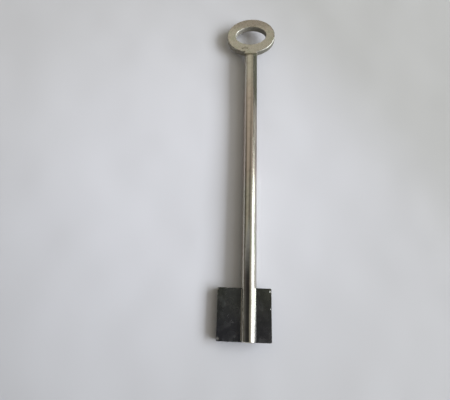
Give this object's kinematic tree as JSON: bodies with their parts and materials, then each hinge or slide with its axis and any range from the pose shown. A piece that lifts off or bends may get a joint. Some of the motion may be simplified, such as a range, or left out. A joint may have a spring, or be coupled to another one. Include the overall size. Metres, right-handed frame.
{
  "type": "key blank",
  "caption": "Long safe key blank with a round shank, an oval ring bow and a flat uncut bit with a wide wing and a narrow wing.",
  "frame": {"origin": "on the shank's axis at the end face of the tip", "axes": "+Y along the shank from the tip to the bow, +X to the narrow wing, +Z square to the flat faces of bow and bit"},
  "size_m": [0.0235, 0.1475, 0.006],
  "materials": {
    "plated_steel": "nickel-plated steel with a warm, slightly yellow tone and light wear",
    "dark_steel": "dark, smooth, oil-blackened steel with small bright wear marks",
    "filler_metal": "brazing filler under thin plating"
  },
  "bodies": {
    "root": {"shank": "plated_steel", "bow": "plated_steel", "bit": "dark_steel", "wide_wing_braze": "filler_metal", "narrow_wing_braze": "filler_metal", "bow_braze": "filler_metal"}
  },
  "joints": []
}
